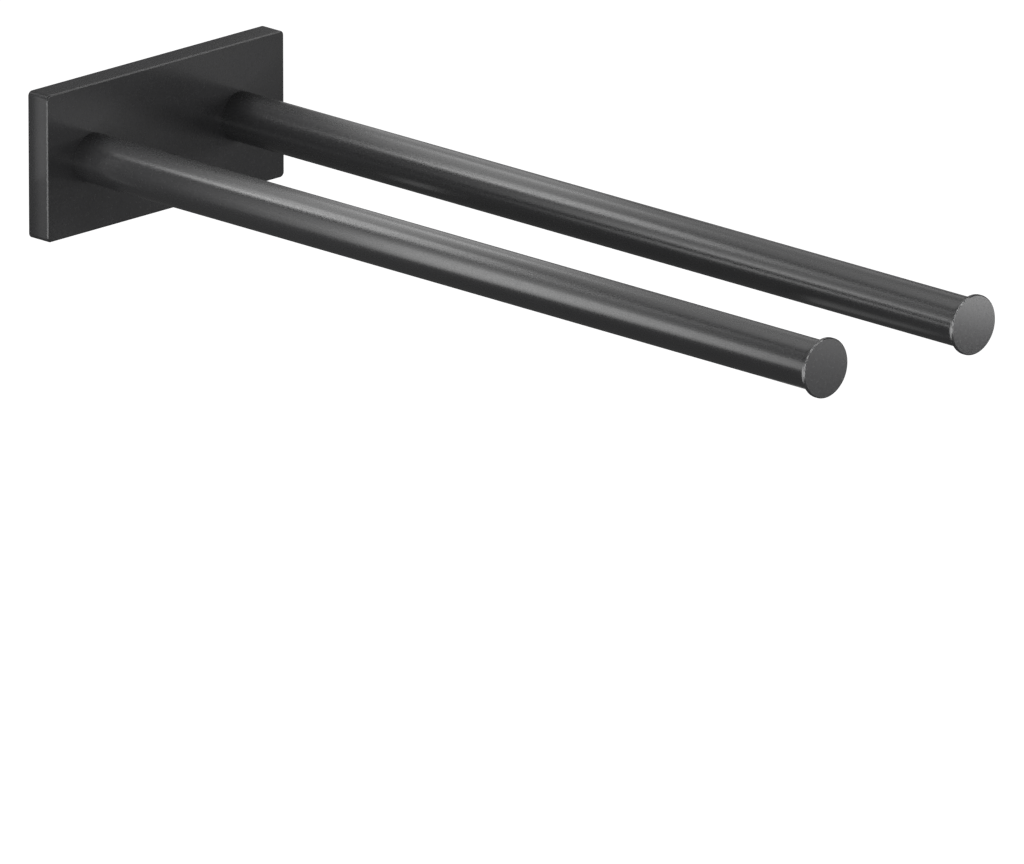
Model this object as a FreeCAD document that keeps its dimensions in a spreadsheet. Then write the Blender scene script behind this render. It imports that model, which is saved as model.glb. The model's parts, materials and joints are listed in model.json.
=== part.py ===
# Wall-mounted towel holder with two fixed arms, in millimetres
# The wall is the plane x = 0, +X points out of the wall along the arms, +Z is up
# The origin lies in the middle of the bracket's face on the wall
import FreeCAD, Part
import os
import re
import Sketcher

# Driving sizes, each written once
sizes = {
    # Cover plate, a hollow cast shell that hides the bracket
    "plateWidth": 130.0,
    "plateHeight": 60.0,
    "plateCornerRadius": 2.0,
    "plateEdgeBreak": 0.5,
    "plateEdgeRound": 0.2,
    "plateRimRound": 0.3,
    "plateSideWall": 3.0,
    "plateFrontWall": 4.0,
    "plateWallGap": 0.3,
    # Wall bracket, folded from sheet
    "bracketSheet": 2.0,
    "bracketBendRadius": 1.0,
    "bracketSidePlay": 0.5,
    "bracketFrontGap": 0.5,
    "bracketHolePlay": 0.3,
    # Screws and washers that hold the bracket on the wall, each screw set in from its arm's axis
    "wallScrewInset": 15.5,
    "wallScrewDiameter": 5.0,
    "wallScrewNeckDiameter": 4.4,
    "wallScrewLength": 40.0,
    "wallScrewPointLength": 5.0,
    "wallScrewHeadDiameter": 9.0,
    "wallScrewHeadHeight": 3.0,
    "wallScrewHeadRound": 1.2,
    "wallScrewSocketWidth": 4.0,
    "wallScrewSocketDepth": 1.6,
    "screwWasherDiameter": 11.0,
    "screwWasherThickness": 1.0,
    "screwHeadRoom": 1.0,
    # Grub screws that clamp the cover plate on the bracket from below, set in the same way
    "clampScrewInset": 5.5,
    "clampScrewDiameter": 4.0,
    "clampScrewLength": 6.0,
    "clampScrewRecess": 1.0,
    "clampScrewPointBreak": 0.7,
    "clampScrewSocketWidth": 2.0,
    "clampScrewSocketDepth": 2.5,
    "clampBossWidth": 9.0,
    "clampBossHeight": 2.5,
    # Arms, each with its axis set in from its end of the plate
    "armEndDistance": 24.5,
    "armDiameter": 20.0,
    "armWall": 1.5,
    "armReach": 405.0,
    # Plug in the root of each arm
    "rootPlugLength": 25.0,
    "rootPlugEdgeBreak": 0.6,
    # Bolt, lock washer and locating pin behind each arm
    "armBoltDiameter": 6.0,
    "armBoltLength": 20.0,
    "armBoltEndBreak": 0.8,
    "armBoltHeadDiameter": 10.0,
    "armBoltHeadHeight": 4.0,
    "armBoltSocketWidth": 4.0,
    "armBoltSocketDepth": 2.0,
    "armBoltHeadRoom": 2.0,
    "lockWasherDiameter": 11.8,
    "lockWasherThickness": 1.6,
    "lockWasherSlit": 1.0,
    "pinDiameter": 3.0,
    "pinLength": 7.0,
    "pinSeatFloor": 0.5,
    "pinEndBreak": 0.4,
    # End caps and their rubber rings
    "capLip": 2.0,
    "capThickness": 1.75,
    "capEdgeBreak": 0.4,
    "capSpigotLength": 9.0,
    "capSpigotPlay": 0.1,
    "capSpigotEdgeBreak": 0.6,
    "capGroovePlace": 3.5,
    "ringSection": 1.4,
    "ringSidePlay": 0.2,
    # Clearances
    "fitPlay": 0.05,
    "boltPlay": 0.2,
    "overrun": 1.0,
}

# Places and sizes that follow from the driving sizes
worked = {
    "armSpacing": "plateWidth - 2 * armEndDistance",
    "wallScrewSpacing": "armSpacing - 2 * wallScrewInset",
    "clampScrewSpacing": "armSpacing - 2 * clampScrewInset",
    "wallScrewHeadPlace": "bracketSheet + screwWasherThickness",
    "wallScrewPointPlace": "wallScrewHeadPlace - wallScrewLength",
    "cavityFloor": "wallScrewHeadPlace + wallScrewHeadHeight + screwHeadRoom",
    "cavityDepth": "cavityFloor - plateWallGap",
    "cavityWidth": "plateWidth - 2 * plateSideWall",
    "cavityHeight": "plateHeight - 2 * plateSideWall",
    "plateDepth": "cavityFloor + plateFrontWall",
    "plateThickness": "plateDepth - plateWallGap",
    "bracketDepth": "cavityFloor - bracketFrontGap",
    "bracketWidth": "cavityWidth - 2 * bracketSidePlay",
    "bracketTop": "cavityHeight / 2",
    "clampPointBelow": "plateHeight / 2 - clampScrewRecess - clampScrewLength",
    "bracketFold": "bracketSheet + bracketBendRadius",
    "clampPlace": "(bracketFold + bracketDepth) / 2",
    "armBore": "armDiameter / 2 - armWall",
    "armLength": "armReach - capThickness",
    "armBoltSeat": "cavityFloor - lockWasherThickness",
    "pinOffset": "(armBoltDiameter / 2 + armBore) / 2",
    "pinSeatDepth": "plateFrontWall - pinSeatFloor",
    "capDiameter": "armDiameter + 2 * capLip",
    "capSeat": "plateDepth + armLength",
    "spigotRadius": "armBore - capSpigotPlay",
    "grooveRadius": "armBore - ringSection - fitPlay",
    "capGrooveWidth": "ringSection + 2 * ringSidePlay",
    "ringPlace": "capSeat - capGroovePlace",
    "ringTubeRadius": "ringSection / 2",
    "ringTurnRadius": "grooveRadius + fitPlay / 2 + ringTubeRadius",
}

sides = {"left": -1, "right": 1}

doc = FreeCAD.newDocument("TowelHolder")
sheet = doc.addObject("Spreadsheet::Sheet", "Sizes")
for row, (name, value) in enumerate(sizes.items(), 1):
    sheet.set(f"A{row}", name)
    sheet.set(f"B{row}", str(value))
    sheet.setAlias(f"B{row}", name)
doc.recompute()


def formula(text):
    """The expression for the sheet's cells, with worked-out names written in full."""

    def spell(found):
        word = found.group()
        if word in worked:
            return f"({formula(worked[word])})"
        return f"Sizes.{word}" if word in sizes else word

    return re.sub(r"[A-Za-z]\w*", spell, str(text))


def number(text):
    return float(sheet.evalExpression(formula(text)))


def bind(item, **expressions):
    for name, text in expressions.items():
        item.setExpression(name, formula(text))


def place(item, x="0", y="0", z="0", rotation=None):
    if rotation:
        item.Placement = FreeCAD.Placement(FreeCAD.Vector(), rotation)
    for axis, text in zip("xyz", (x, y, z)):
        item.setExpression(f"Placement.Base.{axis}", formula(text))


def newBody(label):
    body = doc.addObject("PartDesign::Body", label)
    body.Label = label
    return body


def originPlane(body, role):
    return [item for item in body.Origin.OriginFeatures if item.Role == role][0]


def newSketch(body, name, role, offset=None):
    """A sketch on one of the body's own origin planes, moved along its normal by offset."""
    sketch = body.newObject("Sketcher::SketchObject", name)
    sketch.AttachmentSupport = [(originPlane(body, role), "")]
    sketch.MapMode = "FlatFace"
    if offset:
        sketch.setExpression("AttachmentOffset.Base.z", formula(offset))
    return sketch


def hold(sketch, kind, corner, place, text):
    """Holds one end of one line or circle at a distance from the sketch's origin."""
    geometry, end = corner
    rule = sketch.addConstraint(Sketcher.Constraint(kind, -1, 1, geometry, end, place))
    sketch.setExpression(f"Constraints[{rule}]", formula(text))


def outline(body, name, role, corners, offset=None):
    """A closed outline of straight lines, each corner held by its two expressions."""
    sketch = newSketch(body, name, role, offset)
    points = [FreeCAD.Vector(number(u), number(v), 0) for u, v in corners]
    count = len(corners)
    for i in range(count):
        sketch.addGeometry(Part.LineSegment(points[i], points[(i + 1) % count]), False)
    for i in range(count):
        sketch.addConstraint(Sketcher.Constraint("Coincident", i, 2, (i + 1) % count, 1))
    for i, (u, v) in enumerate(corners):
        hold(sketch, "DistanceX", (i, 1), points[i].x, u)
        hold(sketch, "DistanceY", (i, 1), points[i].y, v)
    return sketch


def rectangle(body, name, role, width, height, u="0", v="0", offset=None):
    """A rectangle of width by height round the point u, v."""
    low, high = f"{u} - ({width}) / 2", f"{u} + ({width}) / 2"
    bottom, top = f"{v} - ({height}) / 2", f"{v} + ({height}) / 2"
    corners = [(low, bottom), (high, bottom), (high, top), (low, top)]
    return outline(body, name, role, corners, offset)


def circles(body, name, role, rounds, offset=None):
    """Circles given as a radius and a centre u, v."""
    sketch = newSketch(body, name, role, offset)
    for i, (radius, u, v) in enumerate(rounds):
        centre = FreeCAD.Vector(number(u), number(v), 0)
        round_ = Part.Circle(centre, FreeCAD.Vector(0, 0, 1), number(radius))
        sketch.addGeometry(round_, False)
        hold(sketch, "DistanceX", (i, 3), centre.x, u)
        hold(sketch, "DistanceY", (i, 3), centre.y, v)
        rule = sketch.addConstraint(Sketcher.Constraint("Radius", i, number(radius)))
        sketch.setExpression(f"Constraints[{rule}]", formula(radius))
    return sketch


def hexagon(body, name, role, acrossFlats, offset=None):
    """A six-sided socket round the sketch's origin."""
    corner = f"({acrossFlats}) / sqrt(3)"
    flat = f"({acrossFlats}) / 2"
    half = f"({acrossFlats}) / 2 / sqrt(3)"
    corners = [
        (corner, "0"),
        (half, flat),
        (f"-({half})", flat),
        (f"-({corner})", "0"),
        (f"-({half})", f"-({flat})"),
        (half, f"-({flat})"),
    ]
    return outline(body, name, role, corners, offset)


def pad(body, name, sketch, length):
    feature = body.newObject("PartDesign::Pad", name)
    feature.Profile = sketch
    bind(feature, Length=length)
    doc.recompute()
    return feature


def pocket(body, name, sketch, depth, reverse=False):
    """A cut that has to take material away: one that points away from the solid stops the build."""
    before = body.Shape.Volume
    feature = body.newObject("PartDesign::Pocket", name)
    feature.Profile = sketch
    feature.Reversed = reverse
    bind(feature, Length=depth)
    doc.recompute()
    if feature.Shape.Volume >= before:
        raise RuntimeError(f"{body.Label}: {name} cuts nothing")
    return feature


def turn(body, name, sketch):
    """A round piece turned about the sketch's own horizontal axis, which is the body's X."""
    feature = body.newObject("PartDesign::Revolution", name)
    feature.Profile = sketch
    feature.ReferenceAxis = (sketch, ["H_Axis"])
    feature.Angle = 360
    doc.recompute()
    return feature


def mirror(body, name, feature, role):
    """The same cut or pad on the other side of an origin plane."""
    copy = body.newObject("PartDesign::Mirrored", name)
    copy.Originals = [feature]
    copy.MirrorPlane = (originPlane(body, role), [""])
    body.Tip = copy
    doc.recompute()
    return copy


def edgesWhere(feature, test):
    """The names of the feature's edges that pass the test."""
    edges = enumerate(feature.Shape.Edges, 1)
    return [f"Edge{i}" for i, edge in edges if test(edge)]


def soften(body, name, feature, edges, kind, size):
    """A fillet or a chamfer on the named edges."""
    edge = body.newObject(f"PartDesign::{kind}", name)
    edge.Base = (feature, edges)
    bind(edge, **{"Radius" if kind == "Fillet" else "Size": size})
    doc.recompute()
    return edge


def liesAt(edge, axis, value):
    """True where the whole edge lies in the plane axis = value."""
    low, high = getattr(edge.BoundBox, f"{axis}Min"), getattr(edge.BoundBox, f"{axis}Max")
    near = number("fitPlay") / 2
    return abs(low - value) < near and abs(high - value) < near


def runsAlong(edge, axis):
    """True where the edge is a straight line along axis."""
    lengths = {letter: getattr(edge.BoundBox, f"{letter}Length") for letter in "XYZ"}
    along = lengths.pop(axis)
    near = number("fitPlay") / 2
    return along > near and all(value < near for value in lengths.values())


def makeCoverPlate():
    """The wall plate: a shallow box, open to the wall, with a thick front that carries the arms."""
    body = newBody("cover_plate")
    face = rectangle(body, "PlateFace", "YZ_Plane", "plateWidth", "plateHeight")
    block = pad(body, "PlateBlock", face, "plateThickness")
    corners = edgesWhere(block, lambda edge: runsAlong(edge, "X"))
    rounded = soften(body, "PlateCorners", block, corners, "Fillet", "plateCornerRadius")
    front, slope = number("plateThickness"), number("plateThickness - plateEdgeBreak")
    sharp = edgesWhere(rounded, lambda edge: liesAt(edge, "X", front))
    broken = soften(body, "FrontBreak", rounded, sharp, "Chamfer", "plateEdgeBreak")
    ends = edgesWhere(broken, lambda edge: liesAt(edge, "X", front) or liesAt(edge, "X", slope))
    eased = soften(body, "FrontRound", broken, ends, "Fillet", "plateEdgeRound")
    rim = edgesWhere(eased, lambda edge: liesAt(edge, "X", 0))
    soften(body, "RimRound", eased, rim, "Fillet", "plateRimRound")
    inside = rectangle(body, "CavityFace", "YZ_Plane", "cavityWidth", "cavityHeight")
    pocket(body, "Cavity", inside, "cavityDepth", reverse=True)
    bossPlace = "clampBossHeight / 2 - cavityHeight / 2"
    boss = rectangle(
        body,
        "BossFace",
        "YZ_Plane",
        "clampBossWidth",
        "clampBossHeight",
        u="clampScrewSpacing / 2",
        v=bossPlace,
    )
    mirror(body, "ClampBosses", pad(body, "ClampBoss", boss, "cavityDepth"), "XZ_Plane")
    thread = ("clampScrewDiameter / 2 + fitPlay", "clampPlace - plateWallGap", "clampScrewSpacing / 2")
    tapped = circles(body, "ClampThreadRound", "XY_Plane", [thread])
    cut = pocket(body, "ClampThread", tapped, "plateHeight / 2 + overrun")
    mirror(body, "ClampThreads", cut, "XZ_Plane")
    bolt = ("armBoltDiameter / 2 + boltPlay", "armSpacing / 2", "0")
    bolted = circles(body, "ArmBoltRound", "YZ_Plane", [bolt])
    through = pocket(body, "ArmBoltHole", bolted, "plateDepth + overrun", reverse=True)
    mirror(body, "ArmBoltHoles", through, "XZ_Plane")
    pin = ("pinDiameter / 2 + fitPlay", "armSpacing / 2", "pinOffset")
    pinned = circles(body, "PinRound", "YZ_Plane", [pin], offset="plateThickness")
    seat = pocket(body, "PinSeat", pinned, "pinSeatDepth")
    mirror(body, "PinSeats", seat, "XZ_Plane")
    place(body, x="plateWallGap")


def makeWallBracket():
    """A channel folded from sheet: its back lies on the wall and its two flanges point into the room."""
    body = newBody("wall_bracket")
    top, bottom = "bracketTop", "-clampPointBelow"
    section = [
        ("0", bottom),
        ("bracketDepth", bottom),
        ("bracketDepth", f"{bottom} + bracketSheet"),
        ("bracketSheet", f"{bottom} + bracketSheet"),
        ("bracketSheet", f"{top} - bracketSheet"),
        ("bracketDepth", f"{top} - bracketSheet"),
        ("bracketDepth", top),
        ("0", top),
    ]
    channel = outline(body, "ChannelSection", "XZ_Plane", section)
    sheetMetal = pad(body, "Channel", channel, "bracketWidth")
    sheetMetal.Midplane = True
    doc.recompute()
    outer = edgesWhere(sheetMetal, lambda e: runsAlong(e, "Y") and liesAt(e, "X", 0))
    folded = soften(body, "OuterFold", sheetMetal, outer, "Fillet", "bracketFold")
    back = number("bracketSheet")
    inner = edgesWhere(folded, lambda e: runsAlong(e, "Y") and liesAt(e, "X", back))
    soften(body, "InnerFold", folded, inner, "Fillet", "bracketBendRadius")
    rounds = {
        "ScrewHole": ("wallScrewDiameter / 2 + bracketHolePlay", "wallScrewSpacing / 2", "0"),
        "BoltHeadHole": ("armBoltHeadDiameter / 2 + armBoltHeadRoom", "armSpacing / 2", "0"),
    }
    for name, hole in rounds.items():
        sketch = circles(body, f"{name}Round", "YZ_Plane", [hole])
        cut = pocket(body, name, sketch, "bracketSheet + overrun", reverse=True)
        mirror(body, f"{name}s", cut, "XZ_Plane")


def makeWallScrew(side, sign):
    """A pan-head wood screw with a hexagonal socket, its point in the wall and its head in the room."""
    body = newBody(f"wall_screw_{side}")
    shank, neck = "wallScrewDiameter / 2", "wallScrewNeckDiameter / 2"
    head = "wallScrewHeadDiameter / 2"
    end = "wallScrewLength + wallScrewHeadHeight"
    profile = [
        ("0", "0"),
        ("wallScrewPointLength", shank),
        ("wallScrewLength - wallScrewHeadPlace", shank),
        ("wallScrewLength - wallScrewHeadPlace", neck),
        ("wallScrewLength", neck),
        ("wallScrewLength", head),
        (f"{end} - wallScrewHeadRound", head),
        (end, f"{head} - wallScrewHeadRound"),
        (end, "0"),
    ]
    turn(body, "ScrewTurned", outline(body, "ScrewProfile", "XY_Plane", profile))
    socket = hexagon(body, "SocketFace", "YZ_Plane", "wallScrewSocketWidth", offset=end)
    pocket(body, "Socket", socket, "wallScrewSocketDepth")
    place(body, x="wallScrewPointPlace", y=f"{sign} * wallScrewSpacing / 2")


def makeScrewWasher(side, sign):
    body = newBody(f"screw_washer_{side}")
    bore = "wallScrewDiameter / 2 + boltPlay"
    rounds = [("screwWasherDiameter / 2", "0", "0"), (bore, "0", "0")]
    pad(body, "Washer", circles(body, "WasherRounds", "YZ_Plane", rounds), "screwWasherThickness")
    place(body, x="bracketSheet", y=f"{sign} * wallScrewSpacing / 2")


def makeClampScrew(side, sign):
    """A grub screw: its point presses on the bracket's lower flange, its socket opens downwards."""
    body = newBody(f"clamp_screw_{side}")
    radius = "clampScrewDiameter / 2"
    profile = [
        ("0", "0"),
        ("0", radius),
        ("clampScrewLength - clampScrewPointBreak", radius),
        ("clampScrewLength", f"{radius} - clampScrewPointBreak"),
        ("clampScrewLength", "0"),
    ]
    turn(body, "GrubTurned", outline(body, "GrubProfile", "XY_Plane", profile))
    socket = hexagon(body, "SocketFace", "YZ_Plane", "clampScrewSocketWidth")
    pocket(body, "Socket", socket, "clampScrewSocketDepth", reverse=True)
    upright = FreeCAD.Rotation(FreeCAD.Vector(0, 1, 0), -90)
    below = "clampScrewRecess - plateHeight / 2"
    place(body, x="clampPlace", y=f"{sign} * clampScrewSpacing / 2", z=below, rotation=upright)


def makeArmTube(side, sign):
    body = newBody(f"arm_tube_{side}")
    rounds = [("armDiameter / 2", "0", "0"), ("armBore", "0", "0")]
    pad(body, "Tube", circles(body, "TubeRounds", "YZ_Plane", rounds), "armLength")
    place(body, x="plateDepth", y=f"{sign} * armSpacing / 2")


def makeRootPlug(side, sign):
    """The threaded plug fixed in the wall end of the arm, drilled for the bolt and the pin."""
    body = newBody(f"root_plug_{side}")
    outer = "armBore - fitPlay"
    thread = "armBoltDiameter / 2 + fitPlay"
    profile = [
        ("0", thread),
        ("rootPlugLength", thread),
        ("rootPlugLength", f"{outer} - rootPlugEdgeBreak"),
        ("rootPlugLength - rootPlugEdgeBreak", outer),
        ("0", outer),
    ]
    turn(body, "PlugTurned", outline(body, "PlugProfile", "XY_Plane", profile))
    pin = [("pinDiameter / 2 + fitPlay", "0", "pinOffset")]
    seat = circles(body, "PinRound", "YZ_Plane", pin)
    pocket(body, "PinSeat", seat, "pinLength - pinSeatDepth + fitPlay", reverse=True)
    place(body, x="plateDepth", y=f"{sign} * armSpacing / 2")


def makeArmBolt(side, sign):
    """A low-head bolt: its head hides behind the plate's front wall, its shank holds the plug."""
    body = newBody(f"arm_bolt_{side}")
    head, shank = "armBoltHeadDiameter / 2", "armBoltDiameter / 2"
    end = "armBoltHeadHeight + armBoltLength"
    profile = [
        ("0", "0"),
        ("0", f"{head} - armBoltEndBreak"),
        ("armBoltEndBreak", head),
        ("armBoltHeadHeight", head),
        ("armBoltHeadHeight", shank),
        (f"{end} - armBoltEndBreak", shank),
        (end, f"{shank} - armBoltEndBreak"),
        (end, "0"),
    ]
    turn(body, "BoltTurned", outline(body, "BoltProfile", "XY_Plane", profile))
    socket = hexagon(body, "SocketFace", "YZ_Plane", "armBoltSocketWidth")
    pocket(body, "Socket", socket, "armBoltSocketDepth", reverse=True)
    place(body, x="armBoltSeat - armBoltHeadHeight", y=f"{sign} * armSpacing / 2")


def makeLockWasher(side, sign):
    """A split spring washer under the bolt's head."""
    body = newBody(f"lock_washer_{side}")
    bore = "armBoltDiameter / 2 + boltPlay"
    rounds = [("lockWasherDiameter / 2", "0", "0"), (bore, "0", "0")]
    pad(body, "Ring", circles(body, "RingRounds", "YZ_Plane", rounds), "lockWasherThickness")
    reach = "lockWasherDiameter / 2 + overrun"
    slit = rectangle(body, "SlitFace", "YZ_Plane", "lockWasherSlit", reach, v=f"({reach}) / 2")
    pocket(body, "Slit", slit, "lockWasherThickness + overrun", reverse=True)
    place(body, x="armBoltSeat", y=f"{sign} * armSpacing / 2")


def makeLocatingPin(side, sign):
    body = newBody(f"locating_pin_{side}")
    radius = "pinDiameter / 2"
    profile = [
        ("0", "0"),
        ("0", f"{radius} - pinEndBreak"),
        ("pinEndBreak", radius),
        ("pinLength - pinEndBreak", radius),
        ("pinLength", f"{radius} - pinEndBreak"),
        ("pinLength", "0"),
    ]
    turn(body, "PinTurned", outline(body, "PinProfile", "XY_Plane", profile))
    place(body, x="plateDepth - pinSeatDepth", y=f"{sign} * armSpacing / 2", z="pinOffset")


def makeEndCap(side, sign):
    """A thin round flange on a grooved spigot that fits in the tube."""
    body = newBody(f"end_cap_{side}")
    flange, bottom = "capDiameter / 2", "grooveRadius"
    start = "capSpigotLength"
    groove = f"{start} - capGroovePlace"
    profile = [
        ("0", "0"),
        ("0", "spigotRadius - capSpigotEdgeBreak"),
        ("capSpigotEdgeBreak", "spigotRadius"),
        (f"{groove} - capGrooveWidth / 2", "spigotRadius"),
        (f"{groove} - capGrooveWidth / 2", bottom),
        (f"{groove} + capGrooveWidth / 2", bottom),
        (f"{groove} + capGrooveWidth / 2", "spigotRadius"),
        (start, "spigotRadius"),
        (start, flange),
        (f"{start} + capThickness", flange),
        (f"{start} + capThickness", "0"),
    ]
    turned = turn(body, "CapTurned", outline(body, "CapProfile", "XY_Plane", profile))
    rim = number(flange)
    edges = edgesWhere(turned, lambda edge: abs(edge.BoundBox.YMax - rim) < number("fitPlay"))
    rims = [name for name in edges if turned.Shape.getElement(name).BoundBox.XLength < number("fitPlay")]
    soften(body, "RimBreak", turned, rims, "Chamfer", "capEdgeBreak")
    place(body, x="capSeat - capSpigotLength", y=f"{sign} * armSpacing / 2")


def makeCapRing(side, sign):
    """The rubber ring in the spigot's groove."""
    ring = doc.addObject("Part::Torus", f"cap_ring_{side}")
    ring.Label = f"cap_ring_{side}"
    bind(ring, Radius1="ringTurnRadius", Radius2="ringTubeRadius")
    across = FreeCAD.Rotation(FreeCAD.Vector(0, 1, 0), 90)
    place(ring, x="ringPlace", y=f"{sign} * armSpacing / 2", rotation=across)


pairs = (
    makeWallScrew,
    makeScrewWasher,
    makeClampScrew,
    makeArmTube,
    makeRootPlug,
    makeArmBolt,
    makeLockWasher,
    makeLocatingPin,
    makeEndCap,
    makeCapRing,
)

makeCoverPlate()
makeWallBracket()
for makePiece in pairs:
    for side, sign in sides.items():
        makePiece(side, sign)
doc.recompute()

# Every object has to be sound before any piece is written
for item in doc.Objects:
    if "Invalid" in item.State or "Error" in item.State:
        raise RuntimeError(f"{item.Label} failed: {item.State}")

pieces = [item for item in doc.Objects if item.TypeId in ("PartDesign::Body", "Part::Torus")]
for piece in pieces:
    shape = piece.Shape
    if shape.isNull() or not shape.isValid() or len(shape.Solids) != 1:
        raise RuntimeError(f"{piece.Label} is not one sound solid")

os.makedirs("parts", exist_ok=True)
for piece in pieces:
    piece.Shape.exportStep(f"parts/{piece.Label}.step")
    box = piece.Shape.BoundBox
    ends = [(getattr(box, f"{axis}Min"), getattr(box, f"{axis}Max")) for axis in "XYZ"]
    spans = ", ".join(f"{low:.2f} to {high:.2f}" for low, high in ends)
    print(f"{piece.Label}: {piece.Shape.Volume:.1f} mm3, x y z {spans}")
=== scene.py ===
# Two-arm towel holder: finishes, threaded screws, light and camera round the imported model, in metres
import json
import math
import bmesh
import bpy
from mathutils import Matrix, Vector


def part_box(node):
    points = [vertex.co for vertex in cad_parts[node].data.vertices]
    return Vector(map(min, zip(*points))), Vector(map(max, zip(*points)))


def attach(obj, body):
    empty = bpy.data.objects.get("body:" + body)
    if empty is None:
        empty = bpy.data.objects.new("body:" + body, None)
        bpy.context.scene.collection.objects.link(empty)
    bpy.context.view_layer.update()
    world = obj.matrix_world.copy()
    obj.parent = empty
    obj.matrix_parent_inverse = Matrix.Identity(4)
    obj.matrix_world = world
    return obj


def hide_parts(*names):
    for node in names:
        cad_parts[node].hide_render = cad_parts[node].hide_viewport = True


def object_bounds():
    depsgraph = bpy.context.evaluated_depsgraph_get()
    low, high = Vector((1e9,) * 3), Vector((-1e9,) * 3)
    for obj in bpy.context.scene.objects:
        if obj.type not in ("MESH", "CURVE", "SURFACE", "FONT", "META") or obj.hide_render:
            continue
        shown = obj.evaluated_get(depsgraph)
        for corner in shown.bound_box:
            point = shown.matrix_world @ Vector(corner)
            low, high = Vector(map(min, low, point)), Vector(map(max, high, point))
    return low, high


mm = 0.001  # sizes below are written in millimetres times this

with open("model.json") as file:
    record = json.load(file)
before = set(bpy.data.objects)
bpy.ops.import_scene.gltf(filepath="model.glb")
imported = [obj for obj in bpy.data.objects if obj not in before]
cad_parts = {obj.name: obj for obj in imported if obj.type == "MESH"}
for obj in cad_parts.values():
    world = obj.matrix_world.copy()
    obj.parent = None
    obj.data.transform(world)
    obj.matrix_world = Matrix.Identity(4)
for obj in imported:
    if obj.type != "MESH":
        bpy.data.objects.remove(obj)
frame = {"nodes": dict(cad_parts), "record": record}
nodes = frame["nodes"]
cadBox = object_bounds()


# Camera at the photo's angle, so far away that the picture has almost no perspective. A program fitted its
# angles, aim and field width to the holder's outline in the photo.
photoCamera = {
    "azimuth": 45.24,  # degrees round from the arms' left side
    "elevation": 16.92,
    "roll": -0.135,
    "aim": (125.25 * mm, 77.43 * mm, -113.4 * mm),  # the picture's middle, in the frame
    "lens": 1400.0,
    "sensor": 36.0,
    "fieldWidth": 402.04 * mm,  # what the picture spans across at the aim
    "nearClip": 500 * mm,
    "farClip": 60000 * mm,
}

# The direction from the holder to the camera
around, rise = math.radians(photoCamera["azimuth"]), math.radians(photoCamera["elevation"])
photoBack = Vector((math.sin(around) * math.cos(rise), -math.cos(around) * math.cos(rise), math.sin(rise)))


def setCamera():
    data = bpy.data.cameras.new("photoCamera")
    data.lens, data.sensor_width = photoCamera["lens"], photoCamera["sensor"]
    data.clip_start, data.clip_end = photoCamera["nearClip"], photoCamera["farClip"]
    distance = photoCamera["fieldWidth"] * data.lens / data.sensor_width
    camera = bpy.data.objects.new("photoCamera", data)
    bpy.context.scene.collection.objects.link(camera)
    camera.location = Vector(photoCamera["aim"]) + photoBack * distance
    upright = (-photoBack).to_track_quat("-Z", "Y").to_matrix()
    camera.rotation_euler = (upright @ Matrix.Rotation(math.radians(photoCamera["roll"]), 3, "Z")).to_euler()
    bpy.context.scene.camera = camera


setCamera()
print("camera set")


# Small helpers for the finishes' node trees
noiseLow, noiseHigh = 0.3, 0.7  # nearly all of a noise lies between these
noiseDetail = 2.0  # how many times finer lumps are laid on the noise's own
mixSockets = {"first": 6, "second": 7, "result": 2}  # where a Mix node keeps its colours


def startFinish(name, metallic=0.0):
    finish = bpy.data.materials.new(name)
    finish.use_nodes = True
    tree = finish.node_tree
    shader = tree.nodes["Principled BSDF"]
    shader.inputs["Metallic"].default_value = metallic
    return finish, tree, shader


def addNode(tree, kind, **settings):
    # a setting goes to the input of that name, or else to the node itself
    node = tree.nodes.new(kind)
    for key, value in settings.items():
        if key in node.inputs:
            node.inputs[key].default_value = value
        else:
            setattr(node, key, value)
    return node


def surfacePlace(tree, stretch=(1, 1, 1)):
    # where a point of the piece lies in metres, stretched to give brush lines a direction
    place = addNode(tree, "ShaderNodeTexCoord")
    mapping = addNode(tree, "ShaderNodeMapping", Scale=stretch)
    tree.links.new(place.outputs["Object"], mapping.inputs["Vector"])
    return mapping.outputs["Vector"]


def surfaceParts(tree):
    # the same place, as its X, Y and Z
    place = addNode(tree, "ShaderNodeTexCoord")
    parts = addNode(tree, "ShaderNodeSeparateXYZ")
    tree.links.new(place.outputs["Object"], parts.inputs[0])
    return parts.outputs


def grainOf(tree, place, grainSize):
    # a noise whose lumps are about grainSize across, 0 to 1
    noise = addNode(tree, "ShaderNodeTexNoise", Scale=1 / grainSize, Detail=noiseDetail)
    tree.links.new(place, noise.inputs["Vector"])
    return noise.outputs["Fac"]


def spread(tree, value, low, high, fromLow=noiseLow, fromHigh=noiseHigh):
    # maps a value from one range to another
    ranged = addNode(tree, "ShaderNodeMapRange")
    ranged.inputs["From Min"].default_value, ranged.inputs["From Max"].default_value = fromLow, fromHigh
    ranged.inputs["To Min"].default_value, ranged.inputs["To Max"].default_value = low, high
    tree.links.new(value, ranged.inputs["Value"])
    return ranged.outputs["Result"]


def workOut(tree, operation, first, second=0):
    # one step of arithmetic on outputs or numbers
    step = addNode(tree, "ShaderNodeMath", operation=operation)
    for socket, value in zip(step.inputs, (first, second)):
        if isinstance(value, (int, float)):
            socket.default_value = value
        else:
            tree.links.new(value, socket)
    return step.outputs[0]


def squareOf(tree, value):
    return workOut(tree, "MULTIPLY", value, value)


def blendColours(tree, share, first, second):
    # from the first colour to the second as the share goes from 0 to 1
    mix = addNode(tree, "ShaderNodeMix", data_type="RGBA")
    mix.inputs[mixSockets["first"]].default_value = (*first, 1)
    mix.inputs[mixSockets["second"]].default_value = (*second, 1)
    tree.links.new(share, mix.inputs["Factor"])
    return mix.outputs[mixSockets["result"]]


def raiseSurface(tree, height, depth):
    # a bump whose full height is depth metres
    bump = addNode(tree, "ShaderNodeBump", Strength=1.0, Distance=depth)
    tree.links.new(height, bump.inputs["Height"])
    return bump.outputs["Normal"]


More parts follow.
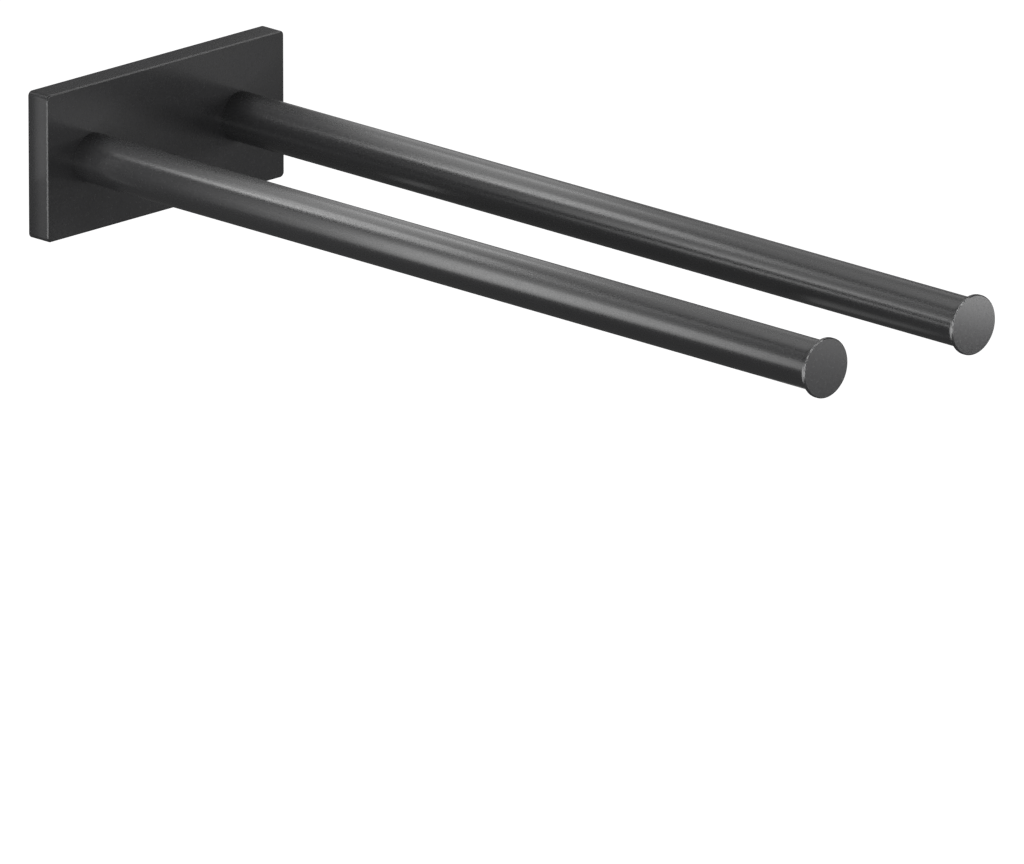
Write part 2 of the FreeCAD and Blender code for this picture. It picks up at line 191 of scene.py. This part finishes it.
def axisDistance(tree, parts, offset):
    # how far a point lies from the nearer of two axes along X, at y = -offset and +offset
    sideways = workOut(tree, "SUBTRACT", workOut(tree, "ABSOLUTE", parts["Y"]), offset)
    return workOut(tree, "SQRT", workOut(tree, "ADD", squareOf(tree, sideways), squareOf(tree, parts["Z"])))


def joinUp(tree, shader, colour, roughness, normal):
    # what each finish ends with
    for name, value in (("Base Color", colour), ("Roughness", roughness), ("Normal", normal)):
        tree.links.new(value, shader.inputs[name])


print("helpers ready")

# Black powder coat on the plate, the arms and the caps
coat = {
    "dark": (0.025, 0.025, 0.026),
    "light": (0.03, 0.03, 0.031),
    "patchSize": 14 * mm,
    "peelSize": 1.3 * mm,
    "peelDepth": 0.0003 * mm,
    "smooth": 0.24,
    "rough": 0.28,
}


def powderCoat():
    finish, tree, shader = startFinish("blackPowderCoat")
    place = surfacePlace(tree)
    patches = grainOf(tree, place, coat["patchSize"])
    peel = grainOf(tree, place, coat["peelSize"])
    joinUp(tree, shader,
           blendColours(tree, patches, coat["dark"], coat["light"]),
           spread(tree, peel, coat["smooth"], coat["rough"]),
           raiseSurface(tree, peel, coat["peelDepth"]))
    return finish


# Stainless sheet of the bracket, brushed along the plate's width
bracketSheet = {
    "dark": (0.44, 0.45, 0.46),
    "light": (0.62, 0.63, 0.64),
    "lineSize": 0.22 * mm,
    "lineLength": 40.0,  # how many times longer than wide a brush line is
    "lineDepth": 0.003 * mm,
    "cloudSize": 25 * mm,
    "smooth": 0.26,
    "rough": 0.44,
    "drawnOut": 0.4,  # how much the brushing draws out a highlight
}


def brushedSheet():
    finish, tree, shader = startFinish("brushedStainless", metallic=1.0)
    alongBrush = surfacePlace(tree, (1, 1 / bracketSheet["lineLength"], 1))
    lines = grainOf(tree, alongBrush, bracketSheet["lineSize"])
    clouds = grainOf(tree, surfacePlace(tree), bracketSheet["cloudSize"])
    both = workOut(tree, "DIVIDE", workOut(tree, "ADD", lines, clouds), 2)
    joinUp(tree, shader,
           blendColours(tree, spread(tree, both, 0, 1), bracketSheet["dark"], bracketSheet["light"]),
           spread(tree, both, bracketSheet["smooth"], bracketSheet["rough"]),
           raiseSurface(tree, lines, bracketSheet["lineDepth"]))
    shader.inputs["Anisotropic"].default_value = bracketSheet["drawnOut"]
    return finish


# Zinc on the wall screws, washers, bolts and pins: bright, with a faint blue and yellow bloom
zinc = {
    "blue": (0.56, 0.59, 0.64),
    "yellow": (0.66, 0.64, 0.58),
    "bloomSize": 5 * mm,
    "frostSize": 0.35 * mm,
    "frostDepth": 0.003 * mm,
    "smooth": 0.2,
    "rough": 0.38,
}


def platedZinc():
    finish, tree, shader = startFinish("brightZinc", metallic=1.0)
    place = surfacePlace(tree)
    bloom = grainOf(tree, place, zinc["bloomSize"])
    frost = grainOf(tree, place, zinc["frostSize"])
    joinUp(tree, shader,
           blendColours(tree, spread(tree, bloom, 0, 1), zinc["blue"], zinc["yellow"]),
           spread(tree, frost, zinc["smooth"], zinc["rough"]),
           raiseSurface(tree, frost, zinc["frostDepth"]))
    return finish


# Burnished steel of the clamp screws: dark, a little mottled
burnished = {
    "dark": (0.16, 0.16, 0.17),
    "light": (0.34, 0.34, 0.35),
    "mottleSize": 0.8 * mm,
    "mottleDepth": 0.004 * mm,
    "smooth": 0.3,
    "rough": 0.45,
}


def burnishedSteel():
    finish, tree, shader = startFinish("burnishedSteel", metallic=1.0)
    mottle = grainOf(tree, surfacePlace(tree), burnished["mottleSize"])
    joinUp(tree, shader,
           blendColours(tree, spread(tree, mottle, 0, 1), burnished["dark"], burnished["light"]),
           spread(tree, mottle, burnished["smooth"], burnished["rough"]),
           raiseSurface(tree, mottle, burnished["mottleDepth"]))
    return finish


# Turned brass of the root plugs: fine tool marks round the arm's axis
brass = {
    "dark": (0.6, 0.42, 0.17),
    "light": (0.8, 0.6, 0.3),
    "markPitch": 0.35 * mm,
    "markDepth": 0.006 * mm,
    "tarnishSize": 4 * mm,
    "smooth": 0.22,
    "rough": 0.4,
}


def turnedBrass():
    finish, tree, shader = startFinish("turnedBrass", metallic=1.0)
    low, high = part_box("root_plug_right")
    parts = surfaceParts(tree)
    fromAxis = axisDistance(tree, parts, (low[1] + high[1]) / 2)
    along = workOut(tree, "ADD", parts["X"], fromAxis)  # so the marks run on from the side over the end
    marks = workOut(tree, "SINE", workOut(tree, "MULTIPLY", along, 2 * math.pi / brass["markPitch"]))
    tarnish = grainOf(tree, surfacePlace(tree), brass["tarnishSize"])
    joinUp(tree, shader,
           blendColours(tree, spread(tree, tarnish, 0, 1), brass["dark"], brass["light"]),
           spread(tree, tarnish, brass["rough"], brass["smooth"]),
           raiseSurface(tree, spread(tree, marks, 0, 1, -1, 1), brass["markDepth"]))
    return finish


# Nitrile rubber of the cap rings: black, dull, with a grey bloom
rubber = {
    "dark": (0.012, 0.012, 0.012),
    "bloom": (0.03, 0.03, 0.03),
    "bloomSize": 2 * mm,
    "skinSize": 0.2 * mm,
    "skinDepth": 0.003 * mm,
    "smooth": 0.55,
    "rough": 0.75,
}


def ringRubber():
    finish, tree, shader = startFinish("nitrileRubber")
    place = surfacePlace(tree)
    bloom = spread(tree, grainOf(tree, place, rubber["bloomSize"]), 0, 1)
    joinUp(tree, shader,
           blendColours(tree, bloom, rubber["dark"], rubber["bloom"]),
           spread(tree, bloom, rubber["smooth"], rubber["rough"], 0, 1),
           raiseSurface(tree, grainOf(tree, place, rubber["skinSize"]), rubber["skinDepth"]))
    return finish


finishes = {
    "black_finish": powderCoat(),
    "bracket_steel": brushedSheet(),
    "plated_steel": platedZinc(),
    "clamp_screw_steel": burnishedSteel(),
    "plug_brass": turnedBrass(),
    "ring_rubber": ringRubber(),
}
slotOf = {part["node"]: part["material_slot"] for part in frame["record"]["subparts"]}
for name, node in nodes.items():
    for slot in node.material_slots:
        slot.material = finishes[slotOf[name]]
print("finishes on:", len(finishes))


# Turned and threaded pieces: rings of points round the local X axis, the head's end towards +X
ringCount = 48
sharpAngle = 35  # degrees between two faces from which their edge stays sharp


def addRing(mesh, place, radius):
    # radius is a number, or gives the radius at an angle
    ring = []
    for i in range(ringCount):
        angle = 2 * math.pi * i / ringCount
        reach = radius(angle) if callable(radius) else radius
        ring.append(mesh.verts.new((place, reach * math.cos(angle), reach * math.sin(angle))))
    return ring


def joinRings(mesh, first, second):
    for i in range(ringCount):
        j = (i + 1) % ringCount
        mesh.faces.new((first[i], first[j], second[j], second[i]))


def closeRing(mesh, ring, place):
    # a fan from the ring to a point on the axis
    tip = mesh.verts.new((place, 0, 0))
    for i in range(ringCount):
        mesh.faces.new((ring[i], ring[(i + 1) % ringCount], tip))


def hexagonWall(acrossFlats):
    # the radius of a six-sided hole at an angle
    return lambda angle: acrossFlats / 2 / math.cos(angle % (math.pi / 3) - math.pi / 6)


def addSocket(mesh, face, screw):
    # a six-sided hole into the end face, with a cone-shaped lead-in and the drill's point at its bottom
    hexagon = hexagonWall(screw["socketWidth"])
    cornerRadius = screw["socketWidth"] / math.sqrt(3)
    socketEnd = face - screw["socketDepth"]
    mouth = addRing(mesh, face, cornerRadius + screw["socketFlare"])
    edge = addRing(mesh, face - screw["socketLead"], hexagon)
    bottom = addRing(mesh, socketEnd, hexagon)
    drilled = addRing(mesh, socketEnd, screw["drillRadius"])
    joinRings(mesh, mouth, edge)
    joinRings(mesh, edge, bottom)
    joinRings(mesh, bottom, drilled)
    closeRing(mesh, drilled, socketEnd - screw["drillPoint"])
    return mouth


def addThread(mesh, start, end, core, crest, screw):
    # A helical ridge from ring start back to ring end; core and crest give radii at a distance from start.
    # Each row climbs one pitch in a turn, so the edges follow the helix and no seam shows.
    pitch, ridge = screw["pitch"], screw["ridge"]
    startPlace, endPlace = start[0].co.x, end[0].co.x
    length = startPlace - endPlace
    rows = (math.ceil(length / pitch) + 1) * len(ridge)
    made = {}

    def point(column, row):
        if column == ringCount:
            column, row = 0, row + len(ridge)
        turn, step = divmod(row, len(ridge))
        share, height = ridge[step]
        along = (turn + share + column / ringCount - 1) * pitch
        if along <= 0:
            return start[column]
        if along >= length:
            return end[column]
        if (column, row) not in made:
            ease = min(1, along / screw["fade"], (length - along) / screw["tipFade"])
            rising = ease * ease * (3 - 2 * ease)  # starts and ends level
            reach = core(along) + (crest(along) - core(along)) * height * rising
            angle = 2 * math.pi * column / ringCount
            place = (startPlace - along, reach * math.cos(angle), reach * math.sin(angle))
            made[column, row] = mesh.verts.new(place)
        return made[column, row]

    for row in range(rows):
        for column in range(ringCount):
            corners = [point(column, row), point(column + 1, row)]
            corners += [point(column + 1, row + 1), point(column, row + 1)]
            kept = [v for i, v in enumerate(corners) if v is not corners[i - 1]]
            if len(kept) > 2:
                mesh.faces.new(kept)


def finishPiece(mesh, name):
    bmesh.ops.recalc_face_normals(mesh, faces=mesh.faces)
    data = bpy.data.meshes.new(name)
    mesh.to_mesh(data)
    mesh.free()
    for face in data.polygons:
        face.use_smooth = True
    data.set_sharp_from_angle(angle=math.radians(sharpAngle))
    piece = bpy.data.objects.new(name, data)
    bpy.context.scene.collection.objects.link(piece)
    return piece


# Screws that hold the bracket on the wall
wallScrew = {
    "headRadius": 4.5 * mm,
    "headHeight": 3.0 * mm,
    "headRound": 1.2 * mm,
    "roundSteps": 5,
    "edgeBreak": 0.15 * mm,
    "socketWidth": 4.0 * mm,
    "socketDepth": 1.6 * mm,
    "socketLead": 0.25 * mm,
    "socketFlare": 0.0625 * mm,  # how far the mouth clears the socket's corners
    "drillRadius": 1.6 * mm,
    "drillPoint": 0.4 * mm,
    "neckRadius": 2.2 * mm,
    "neckLength": 3.4 * mm,
    "neckFillet": 0.25 * mm,
    "length": 40 * mm,
    "pointLength": 5 * mm,
    "crestRadius": 2.5 * mm,
    "coreRadius": 1.7 * mm,
    "pitch": 2.2 * mm,
    "fade": 1.6 * mm,  # the ridge rises over this at the neck, and sinks over the next at the tip
    "tipFade": 3.5 * mm,
    "ridge": ((0, 0), (0.25, 0), (0.5, 0), (0.72, 1), (0.78, 1)),  # place in a pitch, height
    "tipRadius": 0.2 * mm,
}


def wallScrewMesh(name):
    w = wallScrew
    mesh = bmesh.new()
    rows = [addSocket(mesh, w["headHeight"], w)]
    for i in range(w["roundSteps"] + 1):
        turn = math.pi / 2 * i / w["roundSteps"]
        place = w["headHeight"] - w["headRound"] * (1 - math.cos(turn))
        rows.append(addRing(mesh, place, w["headRadius"] - w["headRound"] * (1 - math.sin(turn))))
    for place, radius in (
        (w["edgeBreak"], w["headRadius"]),
        (0, w["headRadius"] - w["edgeBreak"]),
        (0, w["neckRadius"] + w["neckFillet"]),
        (-w["neckFillet"], w["neckRadius"]),
        (-w["neckLength"], w["neckRadius"]),
        (-w["neckLength"] - w["neckFillet"], w["coreRadius"]),
    ):
        rows.append(addRing(mesh, place, radius))
    for first, second in zip(rows, rows[1:]):
        joinRings(mesh, first, second)
    start = rows[-1]
    end = addRing(mesh, -w["length"] + w["tipRadius"], w["tipRadius"])
    threadLength = start[0].co.x - end[0].co.x

    def tapered(full):
        # straight, then narrowing to the tip over the point's length
        tip = w["tipRadius"]
        return lambda along: tip + (full - tip) * min(1, (threadLength - along) / w["pointLength"])

    addThread(mesh, start, end, tapered(w["coreRadius"]), tapered(w["crestRadius"]), w)
    closeRing(mesh, end, -w["length"])
    return finishPiece(mesh, name)


# Grub screws that clamp the plate on the bracket, their sockets downwards
clampScrew = {
    "length": 6.0 * mm,
    "crestRadius": 2.0 * mm,
    "coreRadius": 1.62 * mm,
    "pitch": 0.7 * mm,
    "ridge": ((0, 0), (0.14, 0), (0.5, 1), (0.62, 1)),
    "fade": 0.35 * mm,
    "tipFade": 0.35 * mm,
    "socketWidth": 2.0 * mm,
    "socketDepth": 2.5 * mm,
    "socketLead": 0.15 * mm,
    "socketFlare": 0.0375 * mm,
    "drillRadius": 0.8 * mm,
    "drillPoint": 0.3 * mm,
    "edgeBreak": 0.35 * mm,
    "pointBreak": 0.7 * mm,
    "cupRadius": 0.9 * mm,
    "cupDepth": 0.35 * mm,
}


def clampScrewMesh(name):
    c = clampScrew
    mesh = bmesh.new()
    mouth = addSocket(mesh, 0, c)
    rim = addRing(mesh, 0, c["crestRadius"] - c["edgeBreak"])
    start = addRing(mesh, -c["edgeBreak"] / 2, c["coreRadius"])
    end = addRing(mesh, c["pointBreak"] - c["length"], c["coreRadius"])
    point = addRing(mesh, -c["length"], c["crestRadius"] - c["pointBreak"])
    cup = addRing(mesh, -c["length"], c["cupRadius"])
    joinRings(mesh, mouth, rim)
    joinRings(mesh, rim, start)
    addThread(mesh, start, end, lambda along: c["coreRadius"], lambda along: c["crestRadius"], c)
    joinRings(mesh, end, point)
    joinRings(mesh, point, cup)
    closeRing(mesh, cup, c["cupDepth"] - c["length"])
    return finishPiece(mesh, name)


def dress(piece, node, body, slot):
    # the piece stands for a node: same body, same finish
    piece.data.materials.append(finishes[slot])
    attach(piece, body)
    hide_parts(node)


downwards = Matrix.Rotation(math.pi / 2, 4, "Y")  # turns the local +X to point down
for side in ("left", "right"):
    low, high = (Vector(corner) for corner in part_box(f"wall_screw_{side}"))
    middle = (low + high) / 2
    screw = wallScrewMesh(f"threadedWallScrew_{side}")
    screw.location = (high.x - wallScrew["headHeight"], middle.y, middle.z)
    dress(screw, f"wall_screw_{side}", "bracket", "plated_steel")

    low, high = (Vector(corner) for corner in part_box(f"clamp_screw_{side}"))
    middle = (low + high) / 2
    grub = clampScrewMesh(f"threadedClampScrew_{side}")
    grub.matrix_world = Matrix.Translation((middle.x, middle.y, low.z)) @ downwards
    dress(grub, f"clamp_screw_{side}", f"clamp_{side}", "clamp_screw_steel")
print("threaded screws made")


# Plain pale floor far below the holder, and an even white all round
studio = {
    "floorDrop": 900 * mm,
    "floorSize": 60000 * mm,
    "floorColour": (0.9, 0.9, 0.9),
    "floorRoughness": 0.9,
    "floorGlow": 1.0,
    "backdrop": 1.0,  # how bright the camera sees the surroundings
    "ambient": 0.0879,  # how bright they light the holder, fitted with the lamps' watts
}


def layFloor():
    half = studio["floorSize"] / 2
    mesh = bpy.data.meshes.new("studioFloor")
    corners = [(-half, -half), (half, -half), (half, half), (-half, half)]
    mesh.from_pydata([(x, y, -studio["floorDrop"]) for x, y in corners], [], [(0, 1, 2, 3)])
    floor = bpy.data.objects.new("studioFloor", mesh)
    bpy.context.scene.collection.objects.link(floor)
    finish, _, shader = startFinish("palePaper")
    shader.inputs["Base Color"].default_value = (*studio["floorColour"], 1)
    shader.inputs["Roughness"].default_value = studio["floorRoughness"]
    shader.inputs["Emission Color"].default_value = (1, 1, 1, 1)
    shader.inputs["Emission Strength"].default_value = studio["floorGlow"]
    mesh.materials.append(finish)
    floor.visible_glossy = floor.visible_diffuse = False


def setWorld():
    world = bpy.data.worlds.new("studio")
    bpy.context.scene.world = world
    world.use_nodes = True
    tree = world.node_tree
    tree.nodes.clear()
    seen = addNode(tree, "ShaderNodeBackground", Color=(1, 1, 1, 1), Strength=studio["backdrop"])
    lit = addNode(tree, "ShaderNodeBackground", Color=(1, 1, 1, 1), Strength=studio["ambient"])
    path = addNode(tree, "ShaderNodeLightPath")
    mix = addNode(tree, "ShaderNodeMixShader")
    out = addNode(tree, "ShaderNodeOutputWorld")
    tree.links.new(path.outputs["Is Camera Ray"], mix.inputs["Fac"])
    tree.links.new(lit.outputs[0], mix.inputs[1])
    tree.links.new(seen.outputs[0], mix.inputs[2])
    tree.links.new(mix.outputs[0], out.inputs[0])
    bpy.context.scene.view_settings.view_transform = "Standard"


# Every lamp is a flat rectangle. Its width lies along the arms, or across them where it faces along them.
facesAlong = 0.95  # a lamp faces along the arms from this share of its facing


def hangLamp(name, place, faces, width, height, watts, lightAngle=180):
    # lightAngle is how wide the light leaves the lamp, in degrees
    data = bpy.data.lights.new(name, "AREA")
    data.shape = "RECTANGLE"
    data.size, data.size_y, data.energy = width, height, watts
    data.spread = math.radians(lightAngle)
    lamp = bpy.data.objects.new(name, data)
    bpy.context.scene.collection.objects.link(lamp)
    back = (Vector(place) - Vector(faces)).normalized()
    along = Vector((1, 0, 0)) if abs(back.x) < facesAlong else Vector((0, 1, 0))
    wide = (along - back * along.dot(back)).normalized()
    high = back.cross(wide)
    turned = Matrix((wide, high, back)).transposed()
    lamp.matrix_world = Matrix.Translation(place) @ turned.to_4x4()
    lamp.visible_camera = False


# Softboxes round the arms. Each lies where the arms mirror it to the camera between two places along them,
# and is turned round their axis from the left side (0) over the top (90) to the right (180).
# Not chosen by hand: a program picked these rows from a grid of trial lamps and fitted the watts to the
# photo's brightness. Only rightSpot was widened afterwards, and its watts were fitted again.
softboxes = {
    # name: (turn from, turn to, place from, place to, distance, watts)
    "leftSweep": (-5, 54, 280 * mm, 280 * mm, 500 * mm, 0.5033),
    "overhead": (54, 120, 170 * mm, 220 * mm, 280 * mm, 0.08386),
    "leftStrip": (-12, 12, 280 * mm, 420 * mm, 280 * mm, 0.3416),
    "shoulder": (54, 54, 130 * mm, 130 * mm, 280 * mm, 0.08779),
    "rightSweep": (80, 155, 280 * mm, 360 * mm, 500 * mm, 0.3947),
    "leftFill": (-12, 0, 200 * mm, 280 * mm, 280 * mm, 0.06517),
    "overheadFill": (67, 120, 130 * mm, 170 * mm, 280 * mm, 0.2437),
    "rightSpot": (120, 160, 140 * mm, 200 * mm, 280 * mm, 0.1012),
    "overheadFar": (67, 115, 450 * mm, 450 * mm, 500 * mm, 0.2041),
    "shoulderFill": (54, 67, 170 * mm, 220 * mm, 280 * mm, 0.1838),
    "leftFillFar": (12, 25, 200 * mm, 360 * mm, 280 * mm, 0.07526),
}
softboxEdge = 0.2  # a box is wider and taller by this share of its distance
mirrorShift = 0.9214  # about how far towards the plate a mirrored ray runs per metre that it leaves the arms


def hangSoftbox(name, turnFrom, turnTo, placeFrom, placeTo, distance, watts):
    turn, half = math.radians((turnFrom + turnTo) / 2), math.radians((turnTo - turnFrom) / 2)
    mirrored = (placeFrom + placeTo) / 2
    place = (mirrored - mirrorShift * distance, -distance * math.cos(turn), distance * math.sin(turn))
    edge = softboxEdge * distance
    width, height = placeTo - placeFrom + edge, 2 * distance * math.tan(half) + edge
    hangLamp(name, place, (mirrored, 0, 0), width, height, watts)


# Small lamps in an arc that draw the fine bright line round the caps' left edges
capEdges = {
    "distance": 400 * mm,
    "size": 60 * mm,
    "lamps": {105: 0.2, 120: 0.27, 135: 0.27, 150: 0.27, 165: 0.27, 180: 0.27},  # turn: watts
}
capFace = cadBox[1][0]  # how far out the caps end


def hangEdgeLamp(turn, watts):
    # a cap's broken edge mirrors it to the camera at this turn from the right side (0) over the top (90)
    slant = Vector((1, math.cos(math.radians(turn)), math.sin(math.radians(turn)))).normalized()
    towards = slant * (2 * slant.dot(photoBack)) - photoBack
    middle = Vector((capFace, 0, 0))
    size = capEdges["size"]
    hangLamp(f"capEdge{turn}", middle + towards * capEdges["distance"], middle, size, size, watts)


# Other lamps, by name: place, what it faces, width, height, watts and, where it isn't 180, the light's angle.
# The strips lie at different depths, because lamps in one plane hide each other from a mirrored ray.
# The watts were fitted with the softboxes', apart from edgeLeft's, edgeTop's and the rims', which are given
# one by one.
lamps = {
    # mirrored by the caps' faces
    "capLeft": ((527 * mm, 70 * mm, 0), (425 * mm, -31 * mm, 43 * mm), 60 * mm, 80 * mm, 0.02229),
    "capRight": ((527 * mm, 151 * mm, 0), (425 * mm, 50 * mm, 43 * mm), 60 * mm, 80 * mm, 0.08051),
    # the right arm from below
    "underRight": ((320 * mm, 18 * mm, -56 * mm), (375 * mm, 40 * mm, 0), 50 * mm, 25 * mm, 0.001703),
    "lowRight": ((60 * mm, 0, -60 * mm), (30 * mm, 40 * mm, 0), 30 * mm, 30 * mm, 0.002526),
    # mirrored by the plate's face
    "plateLeft": ((248 * mm, 187 * mm, -65 * mm), (11 * mm, -50 * mm, 35 * mm), 50 * mm, 50 * mm, 0.009445),
    "plateRight": ((248 * mm, 267 * mm, -65 * mm), (11 * mm, 30 * mm, 35 * mm), 50 * mm, 50 * mm, 0.007221),
    # strips mirrored by the plate's left side
    "sideLow": ((-1 * mm, -74 * mm, -5 * mm), (500 * mm, -74 * mm, -5 * mm), 8 * mm, 74 * mm, 0.0002506),
    "sideHigh": ((-2 * mm, -75 * mm, 12 * mm), (500 * mm, -75 * mm, 12 * mm), 8 * mm, 40 * mm, 0.0004457),
    "sideMid": ((-3 * mm, -77 * mm, -5 * mm), (500 * mm, -77 * mm, -5 * mm), 6 * mm, 74 * mm, 0.0007006),
    # mirrored by the plate's broken edges
    "edgeLeft": ((750 * mm, -750 * mm, -310 * mm), (0, 0, 0), 200 * mm, 200 * mm, 1.1),
    "edgeTop": ((300 * mm, 680 * mm, 680 * mm), (0, 0, 0), 200 * mm, 200 * mm, 0.42),
    # close behind the caps' rims
    "rimLeft": ((409 * mm, -58.5 * mm, -2.5 * mm), (415 * mm, -52.5 * mm, 0), 3 * mm, 14 * mm, 0.00008, 60),
    "rimRight": ((409 * mm, 22.5 * mm, -2.5 * mm), (415 * mm, 28.5 * mm, 0), 3 * mm, 14 * mm, 0.00008, 60),
    # broad light from further off
    "frontRight": ((950 * mm, 450 * mm, 50 * mm), (350 * mm, 0, 0), 400 * mm, 200 * mm, 3.092),
    "frontLeft": ((900 * mm, -600 * mm, -100 * mm), (50 * mm, 0, 0), 300 * mm, 300 * mm, 1.15),
    "farBack": ((-1314 * mm, 1414 * mm, 0), (100 * mm, 0, 0), 800 * mm, 800 * mm, 0.5097),
}

for name, box in softboxes.items():
    hangSoftbox(name, *box)
for turn, watts in capEdges["lamps"].items():
    hangEdgeLamp(turn, watts)
for name, lamp in lamps.items():
    hangLamp(name, *lamp)
layFloor()
setWorld()
print("studio set:", len(softboxes) + len(capEdges["lamps"]) + len(lamps), "lamps")
